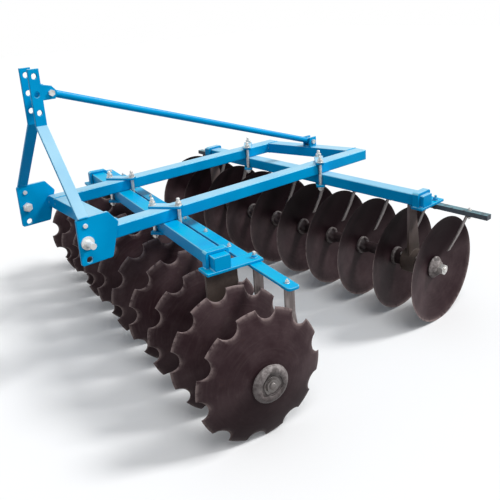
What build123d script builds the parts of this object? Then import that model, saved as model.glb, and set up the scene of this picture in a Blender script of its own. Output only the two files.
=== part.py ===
from build123d import *
from math import atan2, cos, degrees, hypot, radians, sin, sqrt, tan
import os

os.makedirs("parts", exist_ok=True)

# Mounted offset disc harrow, 20 discs. Millimetres, +Z up, the floor at z = 0.
# The tractor side is -Y and the machine's left side is +X.
# Everything is laid out from the middle of the hitch and moved at the end, so that the
# origin is the middle of the whole machine's footprint.

SEAT = 0.3  # gap between pieces that seat on each other
HOLE_OVER = 5.0  # how far a cutting tool runs past a face

# Discs and gang shafts
DISC_R = 280.0
DISC_T = 5.0
DISC_DISH = 55.0
DISC_FLAT_R = 52.0
DISC_PITCH = 230.0
DISC_COUNT = 10
NOTCH_COUNT = 10
NOTCH_R = 46.0
NOTCH_CENTRE_OUT = 8.0
NOTCH_TURN = 10.0
AXLE_SIDE = 32.0
AXLE_PLAY = 0.5
SPOOL_END_R = 48.0
SPOOL_WAIST_R = 31.0
SPOOL_RIM_T = 14.0
SPOOL_SLOPE = 30.0
JOURNAL_R = 42.0
JOURNAL_L = 96.0
BEARING_GAP = 0.08
HOUSING_R = 66.0
HOUSING_L = 84.0
HANGER_T = 14.0
HANGER_HEAD_H = 70.0
HANGER_FOOT_W = 104.0

# End castings of a gang: a wide one on the domed side with its nut let in, a cone on the hollow side
WIDE_CAP_R = 80.0
WIDE_CAP_T = 34.0
WIDE_CAP_FACE_R = 60.0
WIDE_CAP_SEAT_R = 54.0
WIDE_CAP_RIM_T = 12.0
WIDE_CAP_RECESS_R = 46.0
CONE_CAP_R = 58.0
CONE_CAP_SEAT_R = 50.0
CONE_CAP_T = 40.0
CONE_CAP_TIP_R = 33.0
CONE_CAP_RIM_T = 10.0
WIDE_NUT_T = 12.0
CONE_NUT_T = 30.0
END_NUT_R = 28.0
AXLE_END_R = 14.0
AXLE_STUB = 6.0

# Scrapers
BRACKET_OVER_DISC = 50.0
BLADE_T = 6.0
BLADE_FLANGE = 24.0
BLADE_KNEE_DOWN = 110.0
BLADE_FOOT_UP = 90.0

# Gang beams, their clamps and brackets (u along the gang, w to its rear)
GANG_TUBE_W = 75.0
GANG_TUBE_H = 60.0
CLAMP_T = 12.0
CLAMP_L = 162.0
CLAMP_W = 50.0
CLAMP_CORNER_R = 8.0
CLAMP_BOLT_R = 9.0
CLAMP_BOLT_GAP = 1.5
CLAMP_BOLT_UP = 36.0
CLAMP_BOLT_DOWN = 26.0
CLAMP_NUT_R = 16.0
CLAMP_NUT_T = 16.0
BRACKET_T = 12.0
BRACKET_EDGE = 3.0
BRACKET_CUT = 60.0
STRAP_T = 14.0
STRAP_W = 34.0
STRAP_GAP = 3.0
STRAP_CORNER_R = 14.0

# Main frame: two long beams and two cross beams of rectangular tube, carried by the gang beams
TUBE_W = 80.0
TUBE_H = 60.0
TUBE_CORNER_R = 5.0
FRAME_HALF_WIDTH = 345.0
FRAME_FRONT_Y = -171.0
LEFT_BEAM_END_Y = 1545.0
RIGHT_BEAM_END_Y = 1376.0
FRONT_GANG_BEHIND = 328.0
REAR_GANG_AHEAD = 159.0

# One row per gang, right end before left. x, y: its middle. angle: about z. hollow: the side the discs
# face. beam_w: the gang beam's middle. bearings: the spools that turn in the hangers. beam_out, strap_out:
# how far the beam and its straps lie outward of the bearings. bracket, hanger: their front and rear w.
# bar_w, bar_wide, bar_thick, bar_out: the scraper bar's middle, section, and how far it runs past the end
# discs. blade_wide, blade_head, blade_knee, blade_clear: a blade's width, and how far it lies off its disc
# at head, knee and foot.
GANGS = {
    "front": dict(x=142.0, y=FRAME_FRONT_Y + FRONT_GANG_BEHIND, angle=-8.5, hollow=-1, notched=True,
                  beam_w=10.0, bearings=(0, 7), beam_out=(30.0, 25.0), strap_out=(-20.0, -35.0),
                  bracket=(-64.0, 200.0), hanger=(-62.0, 84.0),
                  bar_w=162.0, bar_wide=56.0, bar_thick=12.0, bar_out=(145.0, -35.0),
                  blade_wide=46.0, blade_head=70.0, blade_knee=69.0, blade_clear=10.0),
    "rear": dict(x=-13.0, y=min(LEFT_BEAM_END_Y, RIGHT_BEAM_END_Y) - REAR_GANG_AHEAD, angle=3.0,
                 hollow=1, notched=False,
                 beam_w=-50.0, bearings=(1, 8), beam_out=(10.0, 105.0), strap_out=(-40.0, 68.0),
                 bracket=(-104.0, 97.0), hanger=(-57.0, 12.0),
                 bar_w=46.0, bar_wide=38.0, bar_thick=24.0, bar_out=(-105.0, 265.0),
                 blade_wide=26.0, blade_head=150.0, blade_knee=107.0, blade_clear=46.0),
}

BRACKET_BOTTOM = 2 * DISC_R + BRACKET_OVER_DISC
GANG_BOTTOM = BRACKET_BOTTOM + BRACKET_T
GANG_TOP = GANG_BOTTOM + GANG_TUBE_H
TUBE_BOTTOM = GANG_TOP
FRAME_TOP = TUBE_BOTTOM + TUBE_H
INNER_X = FRAME_HALF_WIDTH - TUBE_W
BEAM_X = FRAME_HALF_WIDTH - TUBE_W / 2

# Three-point hitch: a plate on each long beam
HITCH_PLATE_T = 12.0
HITCH_FRONT = 154.0
HITCH_LAP = 39.0
HITCH_TOP_LAP = 6.0
HITCH_UP = 80.0
HITCH_LAP_UP = 22.0
HITCH_DOWN = 134.0
HITCH_CORNER_R = 10.0
HITCH_HOLE_AHEAD = 116.0
HITCH_HOLE_PITCH = 78.0
LOWER_PIN_DROP = 34.0
LOWER_PIN_R = 14.2
LOWER_PIN_REACH = 52.0
LOWER_PIN_INNER = 28.0
LOWER_PIN_COLLAR_R = 30.0
LOWER_PIN_COLLAR_T = 6.0
LOWER_PIN_NUT_R = 24.0
LOWER_PIN_NUT_T = 16.0
SPARE_HOLE_R = 14.5

HITCH_FRONT_Y = FRAME_FRONT_Y - HITCH_FRONT
HITCH_TOP_Z = FRAME_TOP + HITCH_UP
HITCH_BOTTOM_Z = FRAME_TOP - HITCH_DOWN
HITCH_HOLE_Y = FRAME_FRONT_Y - HITCH_HOLE_AHEAD
LOWER_PIN_Z = FRAME_TOP - LOWER_PIN_DROP

# Mast: two bent flat bars with the top-link holes, and a rod back to the rear cross beam
MAST_BAR_T = 12.0
MAST_BAR_W = 49.0
MAST_GAP = 86.0
MAST_BEHIND = 9.0
MAST_RISE = 690.0
MAST_HEAD_L = 254.0
TOP_LINK_BACK = 25.0
TOP_LINK_DOWN = 112.0
TOP_LINK_PITCH = 80.0
TOP_LINK_R = 12.85
EAR_BACK = 68.0
EAR_UP = 42.0
EAR_DOWN = 28.0
EAR_CORNER = 22.0
STAY_BACK = 41.0
STAY_ROD_R = 17.0
STAY_SLEEVE_R = 22.0
STAY_BOLT_R = 9.0
STAY_BOLT_HEAD_R = 15.0
STAY_BOLT_HEAD_T = 11.0
STAY_BOLT_END = 6.0
STAY_EAR_T = 10.0
STAY_EAR_W = 56.0
STAY_EAR_H = 62.0
STAY_EAR_GAP = 40.0
STAY_FOOT_T = 8.0
STAY_FORWARD = 8.0
STAY_UP = 34.0

MAST_FRONT_Y = HITCH_FRONT_Y + MAST_BEHIND
MAST_BACK_Y = MAST_FRONT_Y + MAST_BAR_W
MAST_TOP_Z = FRAME_TOP + MAST_RISE
MAST_BEND_Z = MAST_TOP_Z - MAST_HEAD_L
TOP_LINK_Y = MAST_FRONT_Y + TOP_LINK_BACK
TOP_LINK_Z = MAST_TOP_Z - TOP_LINK_DOWN


def box(x0, x1, y0, y1, z0, z1):
    """A box between two corners."""
    return Pos((x0 + x1) / 2, (y0 + y1) / 2, (z0 + z1) / 2) * Box(x1 - x0, y1 - y0, z1 - z0)


def rod(start, end, radius):
    """A round bar between two points."""
    a, b = Vector(*start), Vector(*end)
    return Plane(origin=a, z_dir=b - a) * extrude(Circle(radius), (b - a).length)


def hexagon(start, end, radius):
    """A hexagonal bar between two points, its corners at the radius."""
    a, b = Vector(*start), Vector(*end)
    return Plane(origin=a, z_dir=b - a) * extrude(RegularPolygon(radius, 6), (b - a).length)


def cross_hole(x0, x1, y, z, radius):
    """The tool for a hole along x that runs past both faces."""
    low, high = min(x0, x1), max(x0, x1)
    return rod((low - HOLE_OVER, y, z), (high + HOLE_OVER, y, z), radius)


def slab_yz(outline, x0, x1):
    """A plate of an outline in y and z, from x0 to x1."""
    low, high = min(x0, x1), max(x0, x1)
    return Pos(low, 0, 0) * (Plane.YZ * extrude(make_face(Polyline(*outline, close=True)), high - low))


def plate_xy(outline, z, thick):
    """A level plate of an outline in x and y, from z up."""
    return Pos(0, 0, z) * extrude(make_face(Polyline(*outline, close=True)), thick)


# Frame

def long_beam(side, end_y):
    middle = (side * BEAM_X, FRAME_FRONT_Y, TUBE_BOTTOM + TUBE_H / 2)
    section = RectangleRounded(TUBE_W, TUBE_H, TUBE_CORNER_R)
    return Plane(origin=middle, x_dir=(1, 0, 0), z_dir=(0, 1, 0)) * extrude(section, end_y - FRAME_FRONT_Y)


REAR_SLOPE = (LEFT_BEAM_END_Y - RIGHT_BEAM_END_Y) / (2 * INNER_X)
REAR_HALF = TUBE_W / 2 * sqrt(1 + REAR_SLOPE ** 2)


def rear_cross_line(x):
    """The y of the slanted rear cross beam's middle line at x."""
    return (LEFT_BEAM_END_Y + RIGHT_BEAM_END_Y) / 2 + REAR_SLOPE * x - REAR_HALF


def rear_cross_beam():
    ends = ((-INNER_X, -1), (INNER_X, -1), (INNER_X, 1), (-INNER_X, 1))
    return plate_xy([(x, rear_cross_line(x) + s * REAR_HALF) for x, s in ends], TUBE_BOTTOM, TUBE_H)


def hitch_plate(side):
    inner, outer = side * FRAME_HALF_WIDTH, side * (FRAME_HALF_WIDTH + HITCH_PLATE_T)
    lap_y = FRAME_FRONT_Y - HITCH_TOP_LAP
    outline = [(HITCH_FRONT_Y, HITCH_BOTTOM_Z), (HITCH_FRONT_Y, HITCH_TOP_Z), (lap_y, HITCH_TOP_Z),
               (FRAME_FRONT_Y + HITCH_LAP, FRAME_TOP + HITCH_LAP_UP), (lap_y, HITCH_BOTTOM_Z)]
    plate = slab_yz(outline, inner, outer)
    plate = fillet(plate.edges().filter_by(Axis.X), HITCH_CORNER_R)
    plate -= cross_hole(inner, outer, HITCH_HOLE_Y, LOWER_PIN_Z, LOWER_PIN_R + SEAT)
    return plate - cross_hole(inner, outer, HITCH_HOLE_Y, LOWER_PIN_Z - HITCH_HOLE_PITCH, SPARE_HOLE_R)


def lower_pin(side):
    """A hitch pin with its collar outside the plate and its nut inside."""
    back, face = FRAME_HALF_WIDTH, FRAME_HALF_WIDTH + HITCH_PLATE_T
    collar = face + LOWER_PIN_COLLAR_T

    def at(x):
        return side * x, HITCH_HOLE_Y, LOWER_PIN_Z

    pin = rod(at(back - LOWER_PIN_INNER), at(collar + LOWER_PIN_REACH), LOWER_PIN_R)
    pin += rod(at(face), at(collar), LOWER_PIN_COLLAR_R)
    return pin + hexagon(at(back), at(back - LOWER_PIN_NUT_T), LOWER_PIN_NUT_R)


def mast_bar(side):
    """A flat bar, upright at the top link, bent out and down to the top of a hitch plate."""
    t, inner, foot = MAST_BAR_T, MAST_GAP / 2, FRAME_HALF_WIDTH
    outer = inner + t
    run, drop = foot - inner, MAST_BEND_Z - HITCH_TOP_Z
    slant = hypot(run, drop)
    outline = [(inner, MAST_TOP_Z), (outer, MAST_TOP_Z), (outer, MAST_BEND_Z + t * (slant - drop) / run),
               (foot + t * slant / drop, HITCH_TOP_Z), (foot, HITCH_TOP_Z), (inner, MAST_BEND_Z)]
    face = make_face(Polyline(*[(side * x, z) for x, z in outline], close=True))
    bar = Pos(0, MAST_BACK_Y, 0) * (Plane.XZ * extrude(face, MAST_BAR_W))
    ear = [(MAST_BACK_Y, TOP_LINK_Z - EAR_DOWN), (MAST_BACK_Y, TOP_LINK_Z + EAR_UP),
           (MAST_BACK_Y + EAR_BACK - EAR_CORNER, TOP_LINK_Z + EAR_UP - EAR_CORNER / 2),
           (MAST_BACK_Y + EAR_BACK, TOP_LINK_Z + EAR_CORNER / 4),
           (MAST_BACK_Y + EAR_BACK - EAR_CORNER / 2, TOP_LINK_Z - EAR_DOWN)]
    bar += slab_yz(ear, side * inner, side * outer)
    for k in (-1, 0, 1):
        bar -= cross_hole(side * inner, side * outer, TOP_LINK_Y, TOP_LINK_Z + k * TOP_LINK_PITCH, TOP_LINK_R)
    return bar - cross_hole(side * inner, side * outer, STAY_FRONT[0], STAY_FRONT[1], STAY_BOLT_R + SEAT)


# y and z of the stay rod's two bolts
STAY_FRONT = (MAST_BACK_Y + STAY_BACK, TOP_LINK_Z)
STAY_REAR = (rear_cross_line(0) - STAY_FORWARD, FRAME_TOP + STAY_UP)


def stay_rod():
    """A round bar with a sleeve across each end."""
    bar = rod((0, *STAY_FRONT), (0, *STAY_REAR), STAY_ROD_R)
    ends = ((STAY_FRONT, MAST_GAP / 2 - SEAT), (STAY_REAR, STAY_EAR_GAP / 2 - SEAT))
    for place, half in ends:
        bar += rod((-half, *place), (half, *place), STAY_SLEEVE_R)
    for place, half in ends:
        bar -= cross_hole(-half, half, *place, STAY_BOLT_R + SEAT)
    return bar


def stay_bracket():
    """Two ears standing on the rear cross beam, on one foot plate."""
    y, z = STAY_REAR
    inner, outer = STAY_EAR_GAP / 2, STAY_EAR_GAP / 2 + STAY_EAR_T
    y0, y1 = y - STAY_EAR_W / 2, y + STAY_EAR_W / 2
    bracket = box(-outer, outer, y0, y1, FRAME_TOP, FRAME_TOP + STAY_FOOT_T)
    bracket += box(-outer, -inner, y0, y1, FRAME_TOP, FRAME_TOP + STAY_EAR_H)
    bracket += box(inner, outer, y0, y1, FRAME_TOP, FRAME_TOP + STAY_EAR_H)
    return bracket - cross_hole(-outer, outer, y, z, STAY_BOLT_R + SEAT)


def stay_bolts():
    bolts = []
    for place, half in ((STAY_FRONT, MAST_GAP / 2 + MAST_BAR_T), (STAY_REAR, STAY_EAR_GAP / 2 + STAY_EAR_T)):
        reach = half + STAY_BOLT_HEAD_T
        bolt = rod((-reach - STAY_BOLT_END, *place), (reach, *place), STAY_BOLT_R)
        bolt += hexagon((half, *place), (reach, *place), STAY_BOLT_HEAD_R)
        bolts.append(bolt + hexagon((-half, *place), (-reach, *place), STAY_BOLT_HEAD_R))
    return Compound(bolts)


# Gangs: every shape below is made with u along x and w along y, then set in its gang's place

FIRST_DISC = -(DISC_COUNT - 1) / 2 * DISC_PITCH
DISC_PLACES = [FIRST_DISC + k * DISC_PITCH for k in range(DISC_COUNT)]
SPHERE_R = (DISC_R ** 2 + DISC_DISH ** 2) / (2 * DISC_DISH)
BORE = AXLE_SIDE + 2 * AXLE_PLAY


def gang_place(name):
    g = GANGS[name]
    return Pos(g["x"], g["y"], 0) * Rot(0, 0, g["angle"])


def bearing_u(name, end):
    """Where a gang's bearing is: at the middle of its spool."""
    return DISC_PLACES[GANGS[name]["bearings"][end]] + DISC_PITCH / 2


def gang_beam(name):
    g = GANGS[name]
    u0, u1 = (side * g["beam_out"][end] + bearing_u(name, end) for end, side in enumerate((-1, 1)))
    section = RectangleRounded(GANG_TUBE_W, GANG_TUBE_H, TUBE_CORNER_R)
    start = Plane(origin=(u0, g["beam_w"], GANG_BOTTOM + GANG_TUBE_H / 2), x_dir=(0, 1, 0), z_dir=(1, 0, 0))
    return gang_place(name) * (start * extrude(section, u1 - u0))


def clamp_bolt_places(name):
    """Two bolts where a long beam crosses the gang beam, on opposite corners, just clear of both tubes."""
    g = GANGS[name]
    way = 1 if name == "front" else -1
    a = radians(g["angle"])
    clear = CLAMP_BOLT_R + CLAMP_BOLT_GAP
    dx = TUBE_W / 2 + clear
    dy = (GANG_TUBE_W / 2 + clear + way * dx * sin(a)) / cos(a)
    pairs = []
    for x in (-BEAM_X, BEAM_X):
        y = g["y"] + (x - g["x"]) * tan(a) + g["beam_w"] / cos(a)
        pairs.append([(x - dx, y - way * dy), (x + dx, y + way * dy)])
    return pairs


def clamp_plates(name):
    plates = []
    for pair in clamp_bolt_places(name):
        (ax, ay), (bx, by) = pair
        turn = degrees(atan2(by - ay, bx - ax))
        for z in (FRAME_TOP, GANG_BOTTOM - CLAMP_T):
            plate = extrude(RectangleRounded(CLAMP_L, CLAMP_W, CLAMP_CORNER_R), CLAMP_T)
            plate = Pos((ax + bx) / 2, (ay + by) / 2, z) * Rot(0, 0, turn) * plate
            for x, y in pair:
                plate -= rod((x, y, z - HOLE_OVER), (x, y, z + CLAMP_T + HOLE_OVER), CLAMP_BOLT_R + SEAT)
            plates.append(plate)
    return Compound(plates)


def clamp_bolts(name):
    bolts = []
    top, bottom = FRAME_TOP + CLAMP_T, GANG_BOTTOM - CLAMP_T
    for pair in clamp_bolt_places(name):
        for x, y in pair:
            bolt = rod((x, y, bottom - CLAMP_BOLT_DOWN), (x, y, top + CLAMP_BOLT_UP), CLAMP_BOLT_R)
            bolt += hexagon((x, y, top), (x, y, top + CLAMP_NUT_T), CLAMP_NUT_R)
            bolts.append(bolt + hexagon((x, y, bottom), (x, y, bottom - CLAMP_NUT_T), CLAMP_NUT_R))
    return Compound(bolts)


def end_bracket(name, end):
    """A plate under the gang beam with a strap over it. Its rear end carries the scraper bar."""
    g = GANGS[name]
    side = 1 if end else -1
    bearing = side * bearing_u(name, end)
    strap_u = bearing + g["strap_out"][end]
    strap_in = strap_u - STRAP_W / 2 - BRACKET_EDGE
    inner = min(strap_in, bearing - HANGER_T / 2 - BRACKET_EDGE)
    outer = bearing + max(g["beam_out"][end], HANGER_T / 2) + BRACKET_EDGE
    w0, w1 = g["bracket"]
    outline = [(outer, w0), (outer, w1), (inner, w1), (inner, w0 + BRACKET_CUT), (strap_in, w0)]
    plate = plate_xy([(side * u, w) for u, w in outline], BRACKET_BOTTOM, BRACKET_T)
    reach = GANG_TUBE_W / 2 + STRAP_GAP
    top = GANG_TOP + SEAT
    u0, u1 = sorted((side * (strap_u - STRAP_W / 2), side * (strap_u + STRAP_W / 2)))
    m = g["beam_w"]
    strap = box(u0, u1, m - reach - STRAP_T, m + reach + STRAP_T, GANG_BOTTOM, top + STRAP_T)
    strap = fillet(strap.edges().filter_by(Axis.X).sort_by(Axis.Z)[-2:], STRAP_CORNER_R)
    strap -= box(u0 - HOLE_OVER, u1 + HOLE_OVER, m - reach, m + reach, GANG_BOTTOM - HOLE_OVER, top)
    return gang_place(name) * (plate + strap)


def hanger(name, end):
    """A hanger plate from under the bracket down to a round bearing housing."""
    u = bearing_u(name, end)
    w0, w1 = GANGS[name]["hanger"]
    half = HANGER_FOOT_W / 2
    low = BRACKET_BOTTOM - HANGER_HEAD_H
    outline = [(w0, BRACKET_BOTTOM), (w1, BRACKET_BOTTOM), (w1, low),
               (half, DISC_R), (-half, DISC_R), (w0, low)]
    leg = slab_yz(outline, u - HANGER_T / 2, u + HANGER_T / 2)
    leg += rod((u - HOUSING_L / 2, 0, DISC_R), (u + HOUSING_L / 2, 0, DISC_R), HOUSING_R)
    leg -= cross_hole(u - HOUSING_L / 2, u + HOUSING_L / 2, 0, DISC_R, JOURNAL_R + BEARING_GAP)
    return gang_place(name) * leg


def dish_at(radius):
    """How far the dished sheet stands out at a radius: a sphere's depth there."""
    return SPHERE_R - sqrt(SPHERE_R ** 2 - radius ** 2)


def disc(name, turn):
    """A sheet dished like a sphere about x, flat round its square bore, its first notch at the turn."""
    g = GANGS[name]
    t = DISC_T / 2
    flat, rim = g["hollow"] * dish_at(DISC_FLAT_R), g["hollow"] * DISC_DISH
    mid_r = (DISC_R + DISC_FLAT_R) / 2
    mid = g["hollow"] * dish_at(mid_r)
    front = Polyline((flat - t, 0), (flat - t, DISC_FLAT_R))
    front += ThreePointArc((flat - t, DISC_FLAT_R), (mid - t, mid_r), (rim - t, DISC_R))
    edge = Line((rim - t, DISC_R), (rim + t, DISC_R))
    back = ThreePointArc((rim + t, DISC_R), (mid + t, mid_r), (flat + t, DISC_FLAT_R))
    back += Polyline((flat + t, DISC_FLAT_R), (flat + t, 0), (flat - t, 0))
    body = Pos(-flat, 0, 0) * revolve(make_face(front + edge + back), Axis.X)
    body -= Box(DISC_DISH, BORE, BORE)
    if g["notched"]:
        centre = DISC_R + NOTCH_CENTRE_OUT
        for k in range(NOTCH_COUNT):
            a = radians(turn + k * 360 / NOTCH_COUNT)
            body -= cross_hole(-DISC_DISH, DISC_DISH, centre * cos(a), centre * sin(a), NOTCH_R)
    return body


def discs(name):
    """Neighbouring discs are set half a notch round from each other."""
    pair = [disc(name, NOTCH_TURN), disc(name, NOTCH_TURN + 180 / NOTCH_COUNT)]
    row = [pair[(DISC_COUNT - 1 - k) % 2] for k in range(DISC_COUNT)]
    return Compound([gang_place(name) * Pos(u, 0, DISC_R) * one for u, one in zip(DISC_PLACES, row)])


def spool(journal):
    """A cast spool about the x axis, with a rim at both ends, a slope, and a waist or a bearing journal."""
    half = (DISC_PITCH - DISC_T) / 2
    middle = JOURNAL_R if journal else SPOOL_WAIST_R
    middle_half = JOURNAL_L / 2 if journal else half - SPOOL_RIM_T - SPOOL_SLOPE
    side = [(half, 0), (half, SPOOL_END_R), (half - SPOOL_RIM_T, SPOOL_END_R), (middle_half, middle)]
    outline = side + [(-x, r) for x, r in reversed(side)]
    body = revolve(make_face(Polyline(*outline, close=True)), Axis.X)
    return body - Box(DISC_PITCH, BORE, BORE)


def spools(name):
    plain, bearing = spool(False), spool(True)
    row = [bearing if k in GANGS[name]["bearings"] else plain for k in range(DISC_COUNT - 1)]
    middles = [u + DISC_PITCH / 2 for u in DISC_PLACES[:-1]]
    return Compound([gang_place(name) * Pos(u, 0, DISC_R) * one for u, one in zip(middles, row)])


WIDE_CAP = [(0, 0), (0, WIDE_CAP_SEAT_R), (WIDE_CAP_RIM_T, WIDE_CAP_R), (WIDE_CAP_T, WIDE_CAP_FACE_R),
            (WIDE_CAP_T, WIDE_CAP_RECESS_R), (WIDE_CAP_T - WIDE_NUT_T, WIDE_CAP_RECESS_R),
            (WIDE_CAP_T - WIDE_NUT_T, 0)]
CONE_CAP = [(0, 0), (0, CONE_CAP_SEAT_R), (CONE_CAP_RIM_T, CONE_CAP_R), (CONE_CAP_T, CONE_CAP_TIP_R),
            (CONE_CAP_T, 0)]


def gang_ends(name):
    """For each end of a gang: its side, the face of its last disc, and whether the wide casting is there."""
    return [(s, s * (-FIRST_DISC + DISC_T / 2), s == -GANGS[name]["hollow"]) for s in (-1, 1)]


def end_caps(name):
    """The castings that close the row of discs."""
    out = []
    for side, u, wide in gang_ends(name):
        profile = [(side * x, r) for x, r in (WIDE_CAP if wide else CONE_CAP)]
        body = revolve(make_face(Polyline(*profile, close=True)), Axis.X)
        body -= Box(3 * max(WIDE_CAP_T, CONE_CAP_T), BORE, BORE)
        out.append(gang_place(name) * Pos(u, 0, DISC_R) * body)
    return Compound(out)


def nut_span(side, u, wide):
    """Where an end nut starts and stops along the gang."""
    start = u + side * (WIDE_CAP_T - WIDE_NUT_T if wide else CONE_CAP_T)
    return start, start + side * (WIDE_NUT_T if wide else CONE_NUT_T)


def end_nuts(name):
    out = []
    for side, u, wide in gang_ends(name):
        start, stop = nut_span(side, u, wide)
        nut = hexagon((start, 0, DISC_R), (stop, 0, DISC_R), END_NUT_R)
        nut -= cross_hole(start, stop, 0, DISC_R, AXLE_END_R + AXLE_PLAY)
        out.append(gang_place(name) * nut)
    return Compound(out)


def axle(name):
    """A square bar through the row, turned round under the nuts."""
    (low, low_stop), (high, high_stop) = (nut_span(*end) for end in gang_ends(name))
    half = AXLE_SIDE / 2
    body = box(low, high, -half, half, DISC_R - half, DISC_R + half)
    body += rod((low_stop - AXLE_STUB, 0, DISC_R), (high_stop + AXLE_STUB, 0, DISC_R), AXLE_END_R)
    return gang_place(name) * body


def scraper_bar(name):
    g = GANGS[name]
    w, half = g["bar_w"], g["bar_wide"] / 2
    u0, u1 = DISC_PLACES[0] - g["bar_out"][0], DISC_PLACES[-1] + g["bar_out"][1]
    return gang_place(name) * box(u0, u1, w - half, w + half, BRACKET_BOTTOM - g["bar_thick"], BRACKET_BOTTOM)


def scrapers(name):
    """One strip for each disc, bent under the bar and at its knee, its foot just off the hollow face."""
    g = GANGS[name]
    side, w, half = g["hollow"], g["bar_w"], g["blade_wide"] / 2
    head, knee_x = g["blade_head"], g["blade_knee"]
    top, foot = BRACKET_BOTTOM - g["bar_thick"], DISC_R + BLADE_FOOT_UP
    knee = top - BLADE_KNEE_DOWN
    off = dish_at(hypot(abs(w) + half, BLADE_FOOT_UP)) + DISC_T / 2 + g["blade_clear"]
    upper, lower = (head - knee_x) / (top - knee), (knee_x - off) / (knee - foot)
    thick = BLADE_T * hypot(1, max(abs(upper), abs(lower)))
    path = [(head, top), (knee_x, knee), (off, foot), (off + thick, foot), (knee_x + thick, knee),
            (head + thick - upper * BLADE_T, top - BLADE_T), (head + BLADE_FLANGE, top - BLADE_T),
            (head + BLADE_FLANGE, top)]
    out = []
    for u in DISC_PLACES:
        face = make_face(Polyline(*[(u + side * x, z) for x, z in path], close=True))
        out.append(gang_place(name) * (Pos(0, w + half, 0) * (Plane.XZ * extrude(face, 2 * half))))
    return Compound(out)


nodes = {
    "frame_beam_left": long_beam(1, LEFT_BEAM_END_Y),
    "frame_beam_right": long_beam(-1, RIGHT_BEAM_END_Y),
    "front_cross_beam": box(-INNER_X, INNER_X, FRAME_FRONT_Y, FRAME_FRONT_Y + TUBE_W, TUBE_BOTTOM, FRAME_TOP),
    "rear_cross_beam": rear_cross_beam(),
    "hitch_plate_left": hitch_plate(1),
    "hitch_plate_right": hitch_plate(-1),
    "lower_pin_left": lower_pin(1),
    "lower_pin_right": lower_pin(-1),
    "mast_bar_left": mast_bar(1),
    "mast_bar_right": mast_bar(-1),
    "stay_rod": stay_rod(),
    "stay_bracket": stay_bracket(),
    "stay_bolts": stay_bolts(),
}
for gang in GANGS:
    nodes[gang + "_gang_beam"] = gang_beam(gang)
    nodes[gang + "_clamp_plates"] = clamp_plates(gang)
    nodes[gang + "_clamp_bolts"] = clamp_bolts(gang)
    for end, place in enumerate(("right", "left")):
        nodes[gang + "_bracket_" + place] = end_bracket(gang, end)
        nodes[gang + "_hanger_" + place] = hanger(gang, end)
    nodes[gang + "_scraper_bar"] = scraper_bar(gang)
    nodes[gang + "_scrapers"] = scrapers(gang)
    nodes[gang + "_discs"] = discs(gang)
    nodes[gang + "_spools"] = spools(gang)
    nodes[gang + "_end_caps"] = end_caps(gang)
    nodes[gang + "_end_nuts"] = end_nuts(gang)
    nodes[gang + "_axle"] = axle(gang)

whole = Compound(list(nodes.values())).bounding_box()
SHIFT = (-(whole.min.X + whole.max.X) / 2, -(whole.min.Y + whole.max.Y) / 2, -whole.min.Z)
print("shift", SHIFT, "size", whole.size)
for node, shape in nodes.items():
    export_step(Pos(*SHIFT) * shape, "parts/" + node + ".step")
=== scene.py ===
import math

import bpy
import numpy as np
from mathutils import Matrix, Vector


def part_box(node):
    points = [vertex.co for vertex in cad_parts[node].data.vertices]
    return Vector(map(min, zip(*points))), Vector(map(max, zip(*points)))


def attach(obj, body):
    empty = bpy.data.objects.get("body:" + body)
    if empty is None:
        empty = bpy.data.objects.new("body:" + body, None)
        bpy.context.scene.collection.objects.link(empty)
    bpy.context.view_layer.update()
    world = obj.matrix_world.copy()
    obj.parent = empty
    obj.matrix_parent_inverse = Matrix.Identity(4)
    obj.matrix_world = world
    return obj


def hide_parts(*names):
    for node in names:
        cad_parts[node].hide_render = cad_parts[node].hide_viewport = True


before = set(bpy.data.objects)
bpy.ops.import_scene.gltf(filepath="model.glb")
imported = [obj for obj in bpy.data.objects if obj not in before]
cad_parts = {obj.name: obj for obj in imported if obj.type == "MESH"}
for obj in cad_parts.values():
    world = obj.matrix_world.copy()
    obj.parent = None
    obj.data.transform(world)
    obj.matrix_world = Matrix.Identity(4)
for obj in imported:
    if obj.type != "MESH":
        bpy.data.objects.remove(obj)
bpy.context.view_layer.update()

# Sizes that the pieces below share with the solids
DISC_R, DISC_T, DISC_DISH, DISC_FLAT_R = 0.280, 0.005, 0.055, 0.052
DISC_PITCH, DISC_COUNT = 0.230, 10
NOTCHES, NOTCH_R, NOTCH_OUT, NOTCH_TURN = 10, 0.046, 0.008, 10.0
SPOOL_R, SPOOL_RIM_T, JOURNAL_R, HOUSING_L = 0.048, 0.014, 0.042, 0.084
AXLE_SIDE, AXLE_END_R, AXLE_STUB, AXLE_HOLE_R = 0.032, 0.014, 0.006, 0.0168
WIDE_CASTING_R, WIDE_SEAT, WIDE_NUT_T = 0.080, 0.022, 0.012
CONE_SEAT, CONE_NUT_T, END_NUT_R = 0.040, 0.030, 0.028
GANG_TUBE_W, HANGER_T, STRAP_GAP, STRAP_T = 0.075, 0.014, 0.003, 0.014
CLAMP_T, CLAMP_BOLT_R, CLAMP_BOLT_GAP = 0.012, 0.009, 0.0015
HITCH_PLATE_T, HITCH_UP = 0.012, 0.080


def to_micron(value):
    """A length in metres, without the rounding of the mesh that it comes from."""
    return round(float(value), 6)


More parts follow.
